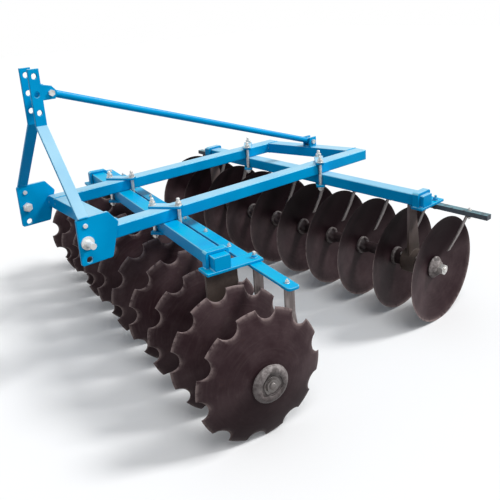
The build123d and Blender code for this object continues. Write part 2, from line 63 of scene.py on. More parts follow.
# Places that they share. x and y are laid out from a point midway between the hitch plates, behind the line
# of the hitch holes, and HITCH_X and HITCH_Y move them into the frame. Heights are over the floor.
FRAME_FRONT_Y, HITCH_HOLE_Y = -0.171, -0.287
(LEFT_INNER, FRONT_END, BEAM_BOTTOM), (LEFT_OUTER, LEFT_REAR_END, BEAM_TOP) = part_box("frame_beam_left")
(RIGHT_OUTER, _, _), (_, RIGHT_REAR_END, _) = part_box("frame_beam_right")
HITCH_X, HITCH_Y = to_micron((LEFT_OUTER + RIGHT_OUTER) / 2), to_micron(FRONT_END - FRAME_FRONT_Y)
HALF_WIDTH, TUBE_W = to_micron((LEFT_OUTER - RIGHT_OUTER) / 2), to_micron(LEFT_OUTER - LEFT_INNER)
BEAM_X, INNER_X = HALF_WIDTH - TUBE_W / 2, HALF_WIDTH - TUBE_W
LEFT_BEAM_END_Y, RIGHT_BEAM_END_Y = to_micron(LEFT_REAR_END - HITCH_Y), to_micron(RIGHT_REAR_END - HITCH_Y)
FRAME_TOP, TUBE_BOTTOM = to_micron(BEAM_TOP), to_micron(BEAM_BOTTOM)
GANG_BOTTOM = to_micron(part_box("front_gang_beam")[0][2])
BRACKET_BOTTOM = to_micron(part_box("front_bracket_left")[0][2])
DISC_PLACES = (np.arange(DISC_COUNT) - (DISC_COUNT - 1) / 2) * DISC_PITCH
SPOOL_PLACES = DISC_PLACES[:-1] + DISC_PITCH / 2
UP, DOWN = np.array([0, 0, 1.0]), np.array([0, 0, -1.0])

# One row per gang, right end before left. x, y: its middle. angle: about z, in degrees. hollow: the side that
# the discs face. beam_w: the gang beam's middle. bearings: the spools that turn in the hangers. beam_out,
# strap_out: how far the beam and its straps lie outward of the bearings. hanger: its front and rear w.
# bar_w, bar_thick: the scraper bar. blade_head: how far a scraper's head lies off its disc.
GANGS = {
    "front": dict(x=0.142, y=0.157, angle=-8.5, hollow=-1, notched=True, beam_w=0.010, bearings=(0, 7),
                  beam_out=(0.030, 0.025), strap_out=(-0.020, -0.035),
                  hanger=(-0.062, 0.084), bar_w=0.162, bar_thick=0.012, blade_head=0.070),
    "rear": dict(x=-0.013, y=1.217, angle=3.0, hollow=1, notched=False, beam_w=-0.050, bearings=(1, 8),
                 beam_out=(0.010, 0.105), strap_out=(-0.040, 0.068),
                 hanger=(-0.057, 0.012), bar_w=0.046, bar_thick=0.024, blade_head=0.150),
}


# Shapes, as arrays: each is its corners, its quads and its end faces

def on_gang(name, points):
    """Points (u, w, z) along, behind and above a gang, turned by its angle and moved to its middle."""
    g = GANGS[name]
    a = math.radians(g["angle"])
    turn = np.array([[math.cos(a), -math.sin(a), 0], [math.sin(a), math.cos(a), 0], [0, 0, 1]])
    return np.asarray(points) @ turn.T + np.array([g["x"] + HITCH_X, g["y"] + HITCH_Y, 0])


def shapes_on_gang(name, shapes):
    """Shapes made at (u, w, z), set in their gang's place."""
    return [(on_gang(name, points), quads, ends) for points, quads, ends in shapes]


def on_hitch(points):
    """Points laid out from the hitch, moved into the frame."""
    return np.asarray(points) + np.array([HITCH_X, HITCH_Y, 0])


def angles(sides):
    """The angles of a ring's points, in radians."""
    return np.arange(sides) / sides * 2 * np.pi


def skin(rings, loop=False):
    """A closed surface through rings of points: a quad between each pair of neighbours on neighbouring rings,
    and one face over each end, or with loop the last ring joined to the first. Faces point outwards, because
    the sum of p0 . (p1 x p2) over its triangles, six times its volume, is made positive."""
    k, n, _ = rings.shape
    place = np.arange(k * n).reshape(k, n)
    low, high = (place, np.roll(place, -1, 0)) if loop else (place[:-1], place[1:])
    quads = np.stack([low, np.roll(low, -1, 1), np.roll(high, -1, 1), high], -1).reshape(-1, 4)
    ends = [] if loop else [place[0][::-1], place[-1]]
    fans = [np.stack([np.full(n - 2, e[0]), e[1:-1], e[2:]], -1) for e in ends]
    corners = rings.reshape(-1, 3)
    tri = corners[np.concatenate([quads[:, :3], quads[:, [0, 2, 3]]] + fans)]
    if np.sum(tri[:, 0] * np.cross(tri[:, 1], tri[:, 2])) < 0:
        quads, ends = quads[:, ::-1], [e[::-1] for e in ends]
    return corners, quads, ends


def across(axis):
    """The axis and two directions square to it, all one long."""
    axis = np.asarray(axis, float) / np.linalg.norm(axis)
    other = UP if abs(axis[2]) < 0.9 else np.array([0, 1.0, 0])
    first = np.cross(other, axis)
    first /= np.linalg.norm(first)
    return axis, first, np.cross(axis, first)


def circle(first, second, sides):
    """Points one unit from an axis, from the two directions square to it."""
    a = angles(sides)
    return np.cos(a)[None, :, None] * first + np.sin(a)[None, :, None] * second


def turned(start, axis, along, radii, sides=24, loop=False):
    """A shape about an axis: the point at (i, a) is start + along_ia * axis + radius_ia * (cos a, sin a)
    square to the axis. along and radii have one value a station, or a row of one value a side."""
    axis, first, second = across(axis)
    along, radii = (np.asarray(v, float) for v in (along, radii))
    along, radii = ((v[:, None] if v.ndim == 1 else v)[:, :, None] for v in (along, radii))
    return skin(np.asarray(start) + along * axis + radii * circle(first, second, sides), loop)


def hexed(corner_r, limits, sides=24):
    """Radii of a hexagon turned down by a cone: at each station the smaller of the hexagon's radius at that
    angle, corner_r * cos 30 / cos(angle from the flat's middle), and the station's limit."""
    off_flat = (angles(sides) + math.pi / 6) % (math.pi / 3) - math.pi / 6
    flat = corner_r * math.cos(math.pi / 6) / np.cos(off_flat)
    return np.minimum(flat[None, :], np.asarray(limits)[:, None])


def nut(start, axis, height, corner_r):
    """A hexagon nut or bolt head, its corners turned down at both faces."""
    cone, face_r, uncut_r = 0.09 * corner_r, 0.92 * corner_r, 1.01 * corner_r
    return turned(start, axis, [0, cone, height - cone, height],
                  hexed(corner_r, [face_r, uncut_r, uncut_r, face_r]))


def washer(start, axis, thick, radius):
    """A flat round washer with its edges broken."""
    e = thick * 0.2
    return turned(start, axis, [0, e, thick - e, thick], [radius - e, radius, radius, radius - e])


def thread(start, axis, length, radius, pitch=0.0025):
    """A threaded end: its radius falls by 9% in every other station half a pitch apart, then a chamfer."""
    root, chamfer = 0.91, 0.75
    count = int(length / pitch) * 2
    radii = radius * np.where(np.arange(count) % 2, 1.0, root)
    radii[-1] = radius * chamfer
    return turned(start, axis, np.linspace(0, length, count), radii, sides=16)


def stack(start, axis, *parts):
    """Parts set on one another along an axis: each is its function, its height and its radius."""
    out = []
    start = np.asarray(start, float)
    for make, height, radius in parts:
        out.append(make(start, axis, height, radius))
        start = start + height * axis
    return out


def bar(start, axis, length, radius, sides=20):
    """A plain round bar with broken edges."""
    e = min(0.001, radius * 0.15)
    return turned(start, axis, [0, e, length - e, length], [radius - e, radius, radius, radius - e], sides)


def weld(start, end, radius=0.004, ripple=0.005):
    """A weld bead along a line: a round section whose radius goes up and down by 12% once a ripple, runs out
    at both ends as the square root of the distance to them, and wanders aside by a slow sine."""
    swell, wander, wander_rate, run_out = 0.12, 0.15, 90, 0.004
    start, end = np.asarray(start, float), np.asarray(end, float)
    length = np.linalg.norm(end - start)
    rings_a_ripple, fewest = 4, 12
    s = np.linspace(0, 1, max(fewest, int(length / ripple * rings_a_ripple)))
    to_end = np.minimum(s, 1 - s) * length
    rippled = radius * (1 + swell * np.sin(s * length / ripple * 2 * np.pi))
    size = rippled * np.sqrt(np.clip(to_end / run_out, 0.05, 1))
    _, first, second = across(end - start)
    aside = wander * radius * np.sin(s * length * wander_rate)[:, None] * first
    middle = start + s[:, None] * (end - start) + aside
    return skin(middle[:, None, :] + size[:, None, None] * circle(first, second, 8))


def flat_bar(u0, u1, w0, w1, low, high, corner, edge=0.0008):
    """A flat bar with round corners: each ring is a quarter circle about each corner's centre, and the first
    and last rings are drawn in by the edge."""
    steps = 8
    a = np.radians(np.concatenate([np.linspace(0, 90, steps) + 90 * k for k in range(4)]))
    u = np.repeat([u1 - corner, u0 + corner, u0 + corner, u1 - corner], steps)
    w = np.repeat([w1 - corner, w1 - corner, w0 + corner, w0 + corner], steps)
    rings = [(corner - edge, low), (corner, low + edge), (corner, high - edge), (corner - edge, high)]
    return skin(np.stack([np.column_stack([u + r * np.cos(a), w + r * np.sin(a), np.full(4 * steps, z)])
                          for r, z in rings]))


# Finishes. All colours are linear red, green and blue.

# The front gang and what holds it end before the first of these y, and the rear ones begin behind the
# second.
REAR_Y = (0.20, 0.25)
# Heights over which the painted top light on the paint thins out, above the beams.
OVER_BEAMS = (0.76, 0.80)


class Nodes:
    """Adds shader nodes to a material or world and links what it is given."""

    def __init__(self, owner):
        owner.use_nodes = True
        self.owner, self.tree = owner, owner.node_tree
        self.tree.nodes.clear()

    def fill(self, socket, value):
        """Links a socket to another, or sets its value. A colour gets its alpha here."""
        if isinstance(value, bpy.types.NodeSocket):
            self.tree.links.new(value, socket)
        else:
            socket.default_value = (*value, 1.0) if socket.type == "RGBA" else value

    def add(self, kind, settings=(), out=0, **inputs):
        """A node's output. An input goes by its name, or by its number after an i."""
        node = self.tree.nodes.new("ShaderNode" + kind)
        for key, value in dict(settings).items():
            setattr(node, key, value)
        for key, value in inputs.items():
            by_number = key[0] == "i" and key[1:].isdigit()
            self.fill(node.inputs[int(key[1:])] if by_number else node.inputs[key.replace("_", " ")], value)
        return node.outputs[out]

    def math(self, way, *values):
        """Arithmetic on numbers, kept between 0 and 1 unless it is MULTIPLY_ADD."""
        return self.add("Math", {"operation": way, "use_clamp": way != "MULTIPLY_ADD"},
                        **{"i%d" % k: v for k, v in enumerate(values)})

    def times(self, first, second):
        return self.math("MULTIPLY", first, second)

    def more(self, first, second):
        return self.math("MAXIMUM", first, second)

    def scaled(self, value, factor, start):
        return self.math("MULTIPLY_ADD", value, factor, start)

    def rest(self, share):
        return self.math("SUBTRACT", 1.0, share)

    def between(self, value, low, high):
        """0 below low, 1 above high and smooth between them."""
        return self.add("MapRange", {"interpolation_type": "SMOOTHSTEP"}, i0=value, i1=low, i2=high)

    def mix(self, share, first, second):
        """The first colour with a share of the second over it."""
        node = self.tree.nodes.new("ShaderNodeMix")
        node.data_type = "RGBA"
        for number, value in ((0, share), (6, first), (7, second)):
            self.fill(node.inputs[number], value)
        return node.outputs[2]

    def noise(self, coords, scale, detail=3.0, roughness=0.55):
        return self.add("TexNoise", Vector=coords, Scale=scale, Detail=detail, Roughness=roughness)

    def parts(self, vector):
        """The x, y and z of a vector."""
        return self.add("SeparateXYZ", i0=vector).node.outputs

    def mark(self, name):
        """A number that a piece's mesh holds under this name, or 0."""
        return self.add("Attribute", {"attribute_name": name}, out=2)

    def place(self):
        return self.add("TexCoord", out=3)

    def up(self):
        """How far the surface faces up."""
        return self.parts(self.add("NewGeometry", out=1))[2]

    def rounded(self, radius):
        """The normal as if each edge were rounded by this radius."""
        return self.add("Bevel", {"samples": 6}, Radius=radius)

    def edge(self, rounded):
        """How much of an edge it is: how far the rounded normal leans from the surface's own."""
        normal = self.add("NewGeometry", out=1)
        dot = self.add("VectorMath", {"operation": "DOT_PRODUCT"}, out=1, i0=rounded, i1=normal)
        return self.between(self.rest(dot), 0.01, 0.16)

    def hidden(self):
        """How hidden it is by what stands within 50 mm."""
        return self.rest(self.add("AmbientOcclusion", {"samples": 6}, out=1, Distance=0.05))

    def output(self, shader, kind="Material"):
        """Shows the shader, and gives back the material or world."""
        shown = self.tree.nodes.new("ShaderNodeOutput" + kind)
        self.tree.links.new(shader, shown.inputs[0])
        return self.owner

    def finish(self, **inputs):
        return self.output(self.add("BsdfPrincipled", **inputs))


def finish_nodes(name):
    return Nodes(bpy.data.materials.new(name))


def painted_reflection_share(n, slow, up, y, z):
    """How pale a painted reflection makes the paint: on level faces and the mast's sloping bars, from the
    long beams' tops up, and one tube lower at the rear, where the gang beam's top is seen."""
    level = n.between(up, 0.965, 0.99)
    sloping = n.times(n.between(up, 0.60, 0.63), n.rest(n.between(up, 0.665, 0.695)))
    height = n.scaled(n.between(y, *REAR_Y), FRAME_TOP - TUBE_BOTTOM, z)
    reflection = n.times(n.more(level, sloping), n.between(height, FRAME_TOP - 0.010, FRAME_TOP - 0.001))
    return n.times(reflection, n.scaled(n.between(slow, 0.35, 0.65), 0.25, 0.70))


def painted_highlight_share(n, rounded, edge, spots, up, z):
    """How much painted highlight an upper edge gets: sharp edges that lean up, and the tubes' own rounded
    upper corners.
    """
    leaning = n.times(edge, n.between(n.parts(rounded)[2], 0.20, 0.50))
    corner = n.times(n.between(up, 0.22, 0.45), n.rest(n.between(up, 0.93, 0.985)))
    corner = n.times(corner, n.math("LESS_THAN", z, FRAME_TOP + 0.0005))
    return n.times(n.times(n.more(leaning, corner), n.between(spots, 0.26, 0.46)), 0.80)


def blue_paint():
    """Sprayed blue: slow changes of tone, painted top light as a patchy lighter blue on what faces up, a
    painted pale reflection on the top of the frame and the mast's sloping bars, painted highlights on upper
    edges, small chips, painted shade in corners and a fine orange peel. The rear scraper bar is worn to a
    dull grey, with its top painted lighter as top light."""
    deep, bright, top_light_blue = (0.0, 0.305, 0.655), (0.0, 0.385, 0.765), (0.0, 0.465, 0.71)
    reflected_pale, edge_highlight = (0.40, 0.66, 0.80), (0.30, 0.72, 0.88)
    corner_shade_blue, chipped = (0.010, 0.060, 0.090), (0.085, 0.060, 0.050)
    worn_side, worn_lit_top, worn_spot = (0.115, 0.115, 0.114), (0.16, 0.28, 0.30), (0.095, 0.080, 0.075)
    n = finish_nodes("blue_paint")
    place, up, hidden = n.place(), n.up(), n.hidden()
    rounded = n.rounded(0.0055)
    edge = n.edge(rounded)
    _, y, z = n.parts(place)
    slow = n.noise(place, 2.6, 3.0)
    spots = n.noise(place, 34.0, 5.0, 0.7)
    base = n.mix(n.between(slow, 0.35, 0.68), deep, bright)
    # Painted top light: a patchy lighter blue on faces that look up, fading out above the beams.
    blue_top_light = n.times(n.between(up, 0.45, 0.98), n.between(n.noise(place, 7.0, 6.0, 0.65), 0.20, 0.70))
    base = n.mix(n.times(blue_top_light, n.scaled(n.between(z, *OVER_BEAMS), -0.6, 0.85)), base, top_light_blue)
    # Painted reflection: level tops and the mast's sloping faces turn pale grey-cyan.
    base = n.mix(painted_reflection_share(n, slow, up, y, z), base, reflected_pale)
    # Painted highlight: pale lines along upper edges and the tubes' rounded upper corners.
    base = n.mix(painted_highlight_share(n, rounded, edge, spots, up, z), base, edge_highlight)
    # Painted shade: a darker blue in corners and close gaps, in blotches.
    corner_shade = n.times(n.between(hidden, 0.30, 0.80), n.between(spots, 0.30, 0.62))
    base = n.mix(n.times(corner_shade, 0.55), base, corner_shade_blue)
    chip = n.times(edge, n.between(n.noise(place, 55.0, 4.0, 0.6), 0.65, 0.70))
    base = n.mix(chip, base, chipped)
    rear_bar = n.times(n.between(y, *REAR_Y), n.math("LESS_THAN", z, BRACKET_BOTTOM + 0.0002))
    # Worn grey paint on the rear scraper bar, with its top painted lighter than its sides as top light.
    worn = n.mix(n.between(up, 0.5, 0.9), worn_side, worn_lit_top)
    worn = n.mix(n.between(spots, 0.42, 0.66), worn, worn_spot)
    base = n.mix(n.times(rear_bar, 0.94), base, worn)
    peel = n.noise(place, 210.0, 2.0)
    bump = n.add("Bump", Strength=0.10, Distance=0.0006, Height=peel, Normal=rounded)
    return n.finish(Base_Color=base, Roughness=n.scaled(spots, 0.14, 0.24), Normal=bump,
                    Specular_IOR_Level=0.045)


def disc_steel():
    """Heat-treated disc steel with a thin dark varnish: brown-black with a purple cast, rings left by
    rolling, clouds of lighter dust, a rim worn to lighter steel, and painted shade, darker and less shiny, on
    the upper side of the rear discs and the lower side of the front ones."""
    dark, light, rolled = (0.027, 0.0125, 0.0155), (0.066, 0.041, 0.045), (0.086, 0.062, 0.062)
    lighter_tone, rusty = (0.13, 0.10, 0.088), (0.060, 0.028, 0.020)
    worn, painted_shade_tone = (0.33, 0.255, 0.245), (0.012, 0.005, 0.007)
    n = finish_nodes("disc_steel")
    place = n.place()
    rounded = n.rounded(0.0012)
    rings = n.add("Attribute", {"attribute_name": "ring"}, out=1)
    streaks = n.noise(rings, 1.0, 4.0, 0.6)
    cloud = n.noise(place, 4.2, 5.0, 0.6)
    spots = n.noise(place, 38.0, 5.0, 0.65)
    base = n.mix(n.between(cloud, 0.34, 0.68), dark, light)
    base = n.mix(n.times(n.between(streaks, 0.45, 0.75), 0.22), base, rolled)
    lighter_share = n.times(n.between(spots, 0.50, 0.74), n.between(cloud, 0.45, 0.70))
    base = n.mix(n.times(lighter_share, 0.28), base, lighter_tone)
    rust = n.between(n.noise(place, 15.0, 6.0, 0.7), 0.60, 0.72)
    base = n.mix(n.times(rust, 0.35), base, rusty)
    bare = n.times(n.more(n.mark("rim"), n.edge(rounded)), n.between(spots, 0.28, 0.58))
    base = n.mix(n.times(bare, 0.80), base, worn)
    # Painted shade: thick is how much the upper halves of the rear discs and the lower halves of the front
    # ones are darkened and made less shiny.
    rear = n.between(n.parts(place)[1], *REAR_Y)
    lean = n.scaled(rear, 2.0, -1.0)
    shade_side = n.scaled(n.parts(rings)[1], lean, n.times(cloud, 1.2))
    thick = n.times(n.between(shade_side, 0.9, 2.2), n.scaled(rear, 0.35, 0.50))
    base = n.mix(thick, base, painted_shade_tone)
    grain = n.math("ADD", n.times(spots, 0.5), n.times(streaks, 0.5))
    bump = n.add("Bump", Strength=0.12, Distance=0.0006, Height=grain, Normal=rounded)
    return n.finish(Base_Color=base, Roughness=n.scaled(streaks, 0.20, 0.36), Normal=bump,
                    Specular_IOR_Level=n.scaled(thick, -0.09, 0.10))


def cast_iron():
    """Sand-cast iron under a dark varnish: grainy, rubbed pale on high places, pale where marked so on the
    end castings and the spools' rims, earth in blotches, and painted shade in the hollows."""
    dark, light = (0.016, 0.009, 0.010), (0.044, 0.029, 0.031)
    grey, pale_grey = (0.150, 0.128, 0.124), (0.330, 0.296, 0.288)
    earth, high, hollow = (0.040, 0.033, 0.031), (0.30, 0.265, 0.26), (0.016, 0.012, 0.012)
    n = finish_nodes("cast_iron")
    place, pale = n.place(), n.mark("pale")
    rounded = n.rounded(0.003)
    grain = n.noise(place, 150.0, 4.0, 0.6)
    base = n.mix(n.between(n.noise(place, 11.0, 4.0), 0.35, 0.65), dark, light)
    rubbed_and_lit = n.mix(n.between(n.noise(place, 46.0, 5.0, 0.65), 0.38, 0.60), grey, pale_grey)
    # Pale where marked: the castings' own paler tone, painted top light on the wide casting and partly
    # painted highlight on the spools' rims.
    base = n.mix(pale, base, rubbed_and_lit)
    blotch = n.times(n.between(n.noise(place, 26.0, 4.0, 0.6), 0.53, 0.60), n.times(pale, 0.62))
    base = n.mix(blotch, base, earth)
    base = n.mix(n.times(n.edge(rounded), n.between(grain, 0.3, 0.6)), base, high)
    # Painted shade: near-black in hollows and close corners.
    base = n.mix(n.times(n.between(n.hidden(), 0.40, 0.85), 0.75), base, hollow)
    bump = n.add("Bump", Strength=0.35, Distance=0.0008, Height=grain, Normal=rounded)
    return n.finish(Base_Color=base, Roughness=n.scaled(grain, 0.2, 0.38), Normal=bump,
                    Specular_IOR_Level=0.28)


def bare_steel():
    """Zinc-plated bolts and bright pins: pale grey, duller and browner in places, with painted shade in
    recesses, dull brown where they are marked so, and newest at the hitch, from 0.82 to 0.86 m ahead of the
    frame's origin."""
    zinc, stained, recess_shade_brown = (0.74, 0.735, 0.715), (0.42, 0.37, 0.33), (0.11, 0.085, 0.070)
    bright, brown, new = (0.84, 0.84, 0.82), (0.085, 0.068, 0.066), (0.93, 0.94, 0.93)
    n = finish_nodes("bare_steel")
    place = n.place()
    rounded = n.rounded(0.0012)
    spots = n.noise(place, 60.0, 5.0, 0.65)
    base = n.mix(n.between(spots, 0.44, 0.70), zinc, stained)
    # Painted shade: darker brown in recesses and close corners.
    base = n.mix(n.times(n.between(n.hidden(), 0.45, 0.95), 0.42), base, recess_shade_brown)
    base = n.mix(n.times(n.edge(rounded), 0.5), base, bright)
    base = n.mix(n.times(n.mark("dull"), 0.86), base, brown)
    fresh = n.between(n.times(n.parts(place)[1], -1.0), 0.82, 0.86)
    base = n.mix(n.times(fresh, 0.70), base, new)
    bump = n.add("Bump", Strength=0.15, Distance=0.0004, Height=spots, Normal=rounded)
    return n.finish(Base_Color=base, Roughness=n.scaled(spots, 0.30, 0.22),
                    Metallic=n.scaled(fresh, -0.45, 0.55), Normal=bump)


def hanger_steel():
    """Hanger plates in dull brown-grey mill scale, the rear ones lighter towards the top, with rust in
    blotches."""
    dark, light, lighter_tone = (0.056, 0.040, 0.034), (0.112, 0.086, 0.074), (0.28, 0.215, 0.205)
    rusty, worn = (0.11, 0.052, 0.034), (0.34, 0.295, 0.275)
    n = finish_nodes("hanger_steel")
    place = n.place()
    rounded = n.rounded(0.002)
    spots = n.noise(place, 45.0, 5.0, 0.65)
    _, y, z = n.parts(place)
    base = n.mix(n.between(n.noise(place, 6.0, 5.0, 0.6), 0.35, 0.65), dark, light)
    # The rear hangers turn lighter towards the top.
    lighter_share = n.times(n.between(z, 0.34, 0.56), n.between(y, *REAR_Y))
    base = n.mix(n.times(lighter_share, 0.80), base, lighter_tone)
    base = n.mix(n.times(n.between(spots, 0.58, 0.72), 0.35), base, rusty)
    base = n.mix(n.times(n.edge(rounded), 0.45), base, worn)
    bump = n.add("Bump", Strength=0.20, Distance=0.0006, Height=spots, Normal=rounded)
    return n.finish(Base_Color=base, Roughness=n.scaled(spots, 0.22, 0.46), Normal=bump,
                    Specular_IOR_Level=0.3)


def blade_steel():
    """Rolled scraper strip: lighter grey with a brown cast, scuffed along its length, bright at its edges."""
    dark, light = (0.150, 0.122, 0.118), (0.300, 0.262, 0.255)
    rusty, bright = (0.095, 0.056, 0.042), (0.55, 0.52, 0.51)
    n = finish_nodes("blade_steel")
    place = n.place()
    rounded = n.rounded(0.0015)
    lengthwise = n.add("Mapping", Vector=place, Scale=(60.0, 60.0, 5.0))
    scuff = n.noise(lengthwise, 1.0, 4.0, 0.6)
    base = n.mix(n.between(scuff, 0.35, 0.68), dark, light)
    rust = n.between(n.noise(place, 40.0, 5.0, 0.6), 0.57, 0.74)
    base = n.mix(n.times(rust, 0.45), base, rusty)
    base = n.mix(n.times(n.edge(rounded), 0.60), base, bright)
    bump = n.add("Bump", Strength=0.15, Distance=0.0005, Height=scuff, Normal=rounded)
    return n.finish(Base_Color=base, Roughness=n.scaled(scuff, 0.25, 0.32), Metallic=0.25, Normal=bump)


FINISHES = (blue_paint, disc_steel, cast_iron, bare_steel, hanger_steel, blade_steel)
FINISH = {make.__name__: make() for make in FINISHES}
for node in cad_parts.values():
    for held in node.material_slots:
        held.material = FINISH[held.material.name.split(".")[0]]


def piece(name, shapes, finish, body, replaces=(), marks=None, sharp=38.0):
    """One mesh of several closed shapes, riding on a body. marks are values for each corner, by name."""
    corners, faces, start = [], [], 0
    for points, quads, ends in shapes:
        corners.append(points)
        faces += (quads + start).tolist() + [(e + start).tolist() for e in ends]
        start += len(points)
    mesh = bpy.data.meshes.new(name)
    mesh.from_pydata(np.concatenate(corners).tolist(), [], faces)
    mesh.polygons.foreach_set("use_smooth", np.ones(len(faces), bool))
    mesh.set_sharp_from_angle(angle=math.radians(sharp))
    for mark, values in (marks or {}).items():
        kind, field = ("FLOAT_VECTOR", "vector") if values.ndim == 2 else ("FLOAT", "value")
        held = mesh.attributes.new(mark, kind, "POINT")
        held.data.foreach_set(field, values.astype(np.float32).ravel())
    mesh.materials.append(FINISH[finish])
    mesh.validate()
    made = bpy.data.objects.new(name, mesh)
    bpy.context.scene.collection.objects.link(made)
    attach(made, body)
    if replaces:
        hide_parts(*replaces)
    return made


# Discs, spools, end castings and shafts

RIM_SHY = 0.0001  # keeps the drawn rims just inside the solids' own
SPHERE_R = (DISC_R ** 2 + DISC_DISH ** 2) / (2 * DISC_DISH)
SPOOL_SIDES, SPOOL_EDGE, SPOOL_SLOPE, SPOOL_WAIST_R = 48, 0.0015, 0.034, 0.030
SPOOL_FOOT_R, RIB_R = 0.044, 0.0475


def dish(radius):
    """How far a disc's sheet stands out at a radius: the depth of a sphere there, less that of its flat."""
    deep = SPHERE_R - np.sqrt(SPHERE_R ** 2 - np.maximum(radius, DISC_FLAT_R) ** 2)
    return deep - (SPHERE_R - math.sqrt(SPHERE_R ** 2 - DISC_FLAT_R ** 2))


def disc_outline(notched, turn):
    """Angle and radius round a disc's edge: the plain rim, or stretches of it between the near sides of
    circles about points just outside it, one for each notch."""
    rim_r, sides, bite_points, rim_points = DISC_R - RIM_SHY, 120, 17, 9
    if not notched:
        return angles(sides), np.full(sides, rim_r)
    centre, pitch = DISC_R + NOTCH_OUT, 2 * np.pi / NOTCHES
    meets = math.acos((DISC_R ** 2 - centre ** 2 - NOTCH_R ** 2) / (2 * centre * NOTCH_R))
    t = np.linspace(2 * np.pi - meets, meets, bite_points)
    x, y = centre + NOTCH_R * np.cos(t), NOTCH_R * np.sin(t)
    half = np.arctan2(y[-1], x[-1])
    bite_a, bite_r = np.clip(np.arctan2(y, x), -half, half), np.hypot(x, y)
    rim_a = np.linspace(half, pitch - half, rim_points)[1:-1]
    one_a = np.concatenate([bite_a, rim_a])
    one_r = np.concatenate([bite_r, np.full(len(rim_a), rim_r)])
    a = (one_a[None, :] + np.arange(NOTCHES)[:, None] * pitch + math.radians(turn)).ravel()
    return a, np.tile(one_r, NOTCHES)


def worked_disc(gang, u, turn):
    """One dished disc, with how worn each corner is and where it lies on the rolling streaks. A point at
    (v, a) lies at radius r = inner + v * (edge_a - ground - inner), and at dish(r) along the shaft, half the
    thickness to either side. The last 11 mm is ground thin from the domed side."""
    inner, ground, ground_off = 0.034, 0.011, 0.72 * DISC_T
    worn_edge, worn_start = 1.0, 0.16
    streaks_round, streaks_out, streaks_along = 2.0, 95, 31
    a, edge = disc_outline(GANGS[gang]["notched"], turn)
    v = np.array([0.0, 0.08, 0.16, 0.26, 0.38, 0.50, 0.62, 0.74, 0.84, 0.93, 1.0])
    r = inner + v[:, None] * (edge - ground - inner)[None, :]
    r = np.concatenate([r, edge[None, :]])
    hollow_side, domed_side = dish(r) + DISC_T / 2, dish(r) - DISC_T / 2
    domed_side[-1] += ground_off
    worn = np.zeros_like(r)
    worn[-1], worn[-2] = worn_edge, worn_start
    x = np.concatenate([domed_side, hollow_side[::-1]]) * GANGS[gang]["hollow"]
    r, worn = (np.concatenate([side, side[::-1]]) for side in (r, worn))
    cos, sin = (np.broadcast_to(way, r.shape) for way in (np.cos(a), np.sin(a)))
    rings = np.stack([x + u, r * cos, r * sin + DISC_R], -1)
    streaks = np.stack([streaks_round * cos, streaks_round * sin, streaks_out * r + streaks_along * u], -1)
    return skin(on_gang(gang, rings), loop=True), worn.ravel(), streaks.reshape(-1, 3)


def ribbed_spool(gang, u, bearing):
    """A cast spool: its radius is a rim, a hollow curve down to the waist or the bearing journal, and on a
    plain one four ribs under the rim that add to it by the eighth power of the cosine of twice the angle."""
    half = (DISC_PITCH - DISC_T) / 2
    foot = half - SPOOL_RIM_T
    waist = JOURNAL_R if bearing else SPOOL_WAIST_R
    t = np.linspace(0, 1, 9)[1:]
    fall = (1 - t) ** 2.2
    x = np.concatenate([[half, half - SPOOL_EDGE, foot + SPOOL_EDGE, foot], foot - SPOOL_SLOPE * t])
    rim = [SPOOL_R - SPOOL_EDGE, SPOOL_R, SPOOL_R, SPOOL_R - SPOOL_EDGE]
    r = np.concatenate([rim, waist + (SPOOL_FOOT_R - waist) * fall])
    rib = np.concatenate([np.zeros(4), (RIB_R - waist) * np.sqrt(1 - t) * (1 - fall)])
    if bearing:
        rib = np.zeros_like(rib)
    x, r, rib = np.concatenate([x, -x[::-1]]), np.concatenate([r, r[::-1]]), np.concatenate([rib, rib[::-1]])
    radii = r[:, None] + rib[:, None] * np.abs(np.cos(2 * angles(SPOOL_SIDES)))[None, :] ** 8
    return turned((u, 0, DISC_R), (1, 0, 0), x, radii, SPOOL_SIDES)


# One row per station of the wide casting: x along the shaft, radius, share of its face's waves, share of
# its notches.
WIDE_CASTING = np.array([
    (0, 0.054, 0, 0), (0.003, 0.065, 0, 0), (0.008, 0.0755, 0, 0), (0.0125, 0.0792, 0, 0),
    (0.018, 0.0788, 0, 0), (0.0245, 0.0735, 0, 0), (0.030, 0.0665, 0.4, 0), (0.0325, 0.0605, 0.9, 0),
    (0.0322, 0.0545, 1, 0.4), (0.0305, 0.0495, 1, 0.8), (0.0285, 0.0455, 0.8, 1), (0.0225, 0.0440, 0, 1),
    (0.0215, 0.0415, 0, 0.6), (0.0215, AXLE_HOLE_R, 0, 0), (0, AXLE_HOLE_R, 0, 0)])

# One row per station of the cone casting: x along the shaft, radius, share of its ribs.
CONE_CASTING = np.array([
    (0, 0.050, 0), (0.006, 0.0545, 0), (0.010, 0.0575, 0), (0.014, 0.055, 1), (0.020, 0.0475, 1.6),
    (0.028, 0.0405, 1.6), (0.036, 0.0355, 0.8), (0.0395, 0.0325, 0), (0.0395, AXLE_HOLE_R, 0),
    (0, AXLE_HOLE_R, 0)])

# One row per station of the lock plate: x along the shaft, radius, share of a tab's lift and of its reach.
LOCK_PLATE = np.array([
    (0, 0.0345, 0, 1), (0.0008, 0.0350, 0.4, 1), (0.0030, 0.0348, 1, 1), (0.0030, 0.0305, 0, 0)])


